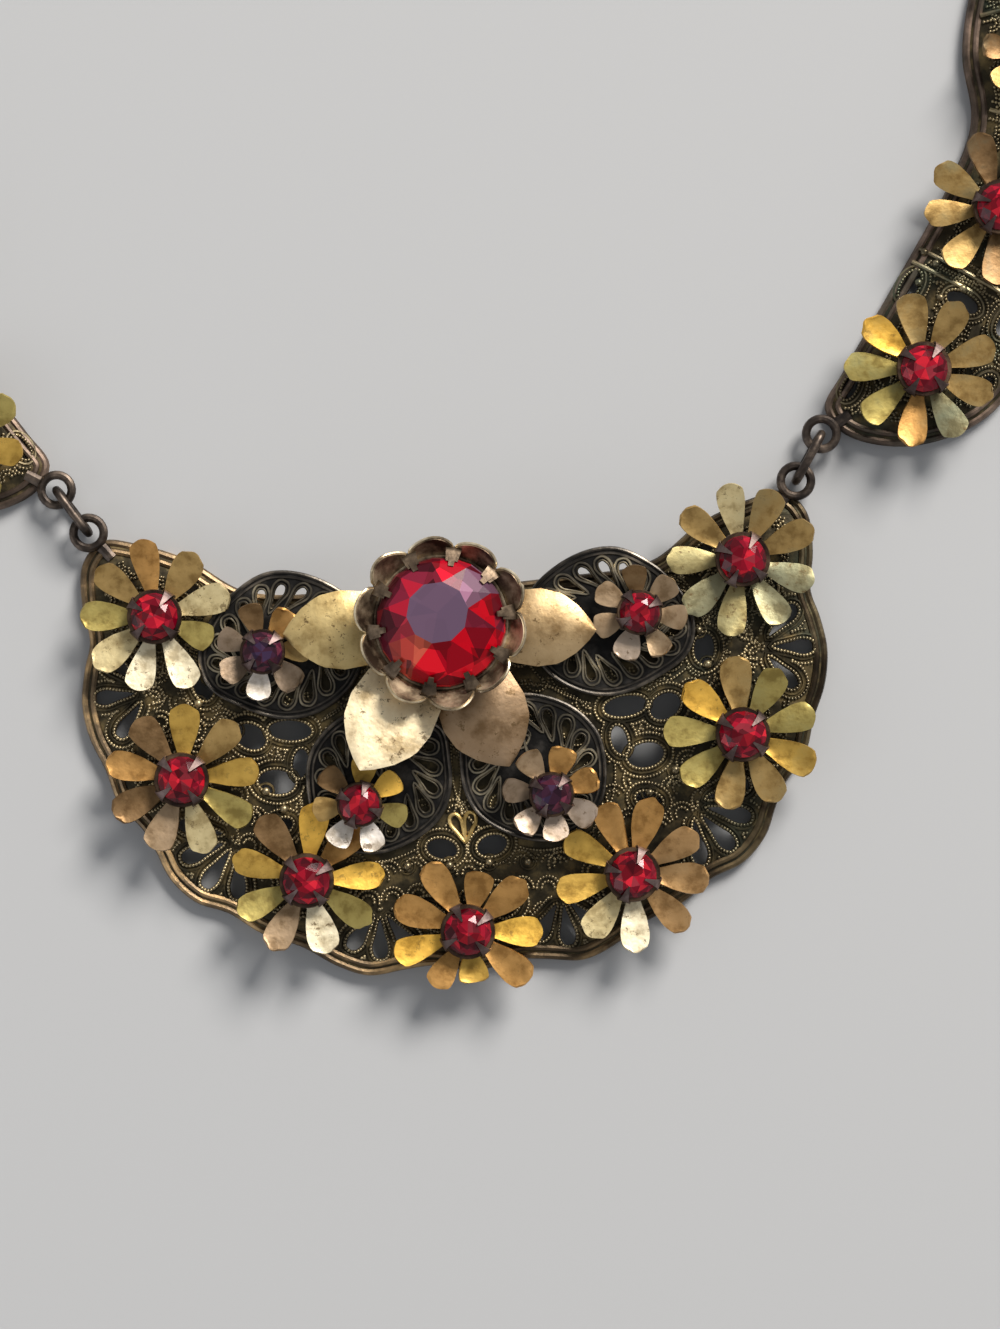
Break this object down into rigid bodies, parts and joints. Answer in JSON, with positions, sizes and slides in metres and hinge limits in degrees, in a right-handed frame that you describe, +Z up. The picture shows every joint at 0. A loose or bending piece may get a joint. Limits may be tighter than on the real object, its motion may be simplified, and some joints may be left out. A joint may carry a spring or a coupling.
{
  "type": "bib necklace",
  "caption": "Bib necklace lying flat: a pierced metal plaque and side panels set with daisy flowers and red cut stones, on a plain chain with a clasp.",
  "frame": {"origin": "on the floor below the middle of the whole loop", "axes": "+X to the wearer's left as it lies face up, +Y from the plaque towards the clasp, +Z up off the floor"},
  "size_m": [0.1294, 0.1654, 0.0114],
  "materials": {
    "bronze": "aged olive brown, stamped and pierced",
    "blackened": "blackened with worn wire tops",
    "gilt": "worn gilding with patches of brown and green",
    "pale_gilt": "pale worn gilding with dark specks",
    "cup_brass": "brown patina with pale edges",
    "dark_wire": "dark brown patina",
    "red_glass": "cut and foiled red glass",
    "purple_glass": "cut and foiled dark purple glass"
  },
  "bodies": {
    "root": {"plaque_filigree": "bronze", "lobe_upper_right": "blackened", "lobe_upper_left": "blackened", "lobe_lower_right": "blackened", "lobe_lower_left": "blackened", "daisy_1": "gilt", "daisy_stone_1": "red_glass", "daisy_2": "gilt", "daisy_stone_2": "red_glass", "daisy_3": "gilt", "daisy_stone_3": "red_glass", "daisy_4": "gilt", "daisy_stone_4": "red_glass", "daisy_5": "gilt", "daisy_stone_5": "red_glass", "daisy_6": "gilt", "daisy_stone_6": "red_glass", "daisy_7": "gilt", "daisy_stone_7": "red_glass", "small_flower_1": "gilt", "small_stone_1": "purple_glass", "small_flower_2": "gilt", "small_stone_2": "red_glass", "small_flower_3": "gilt", "small_stone_3": "red_glass", "small_flower_4": "gilt", "small_stone_4": "purple_glass", "leaf_rosette": "pale_gilt", "centre_cup": "cup_brass", "centre_stone": "red_glass", "panel_right": "bronze", "panel_right_daisy_1": "gilt", "panel_right_daisy_1_stone": "red_glass", "panel_right_daisy_2": "gilt", "panel_right_daisy_2_stone": "red_glass", "panel_right_flower_3": "gilt", "panel_right_flower_3_stone": "red_glass", "jump_link_right": "dark_wire", "chain_right": "dark_wire", "panel_left": "bronze", "panel_left_daisy_1": "gilt", "panel_left_daisy_1_stone": "red_glass", "panel_left_daisy_2": "gilt", "panel_left_daisy_2_stone": "red_glass", "panel_left_flower_3": "gilt", "panel_left_flower_3_stone": "red_glass", "jump_link_left": "dark_wire", "chain_left": "dark_wire", "clasp": "dark_wire"}
  },
  "joints": []
}
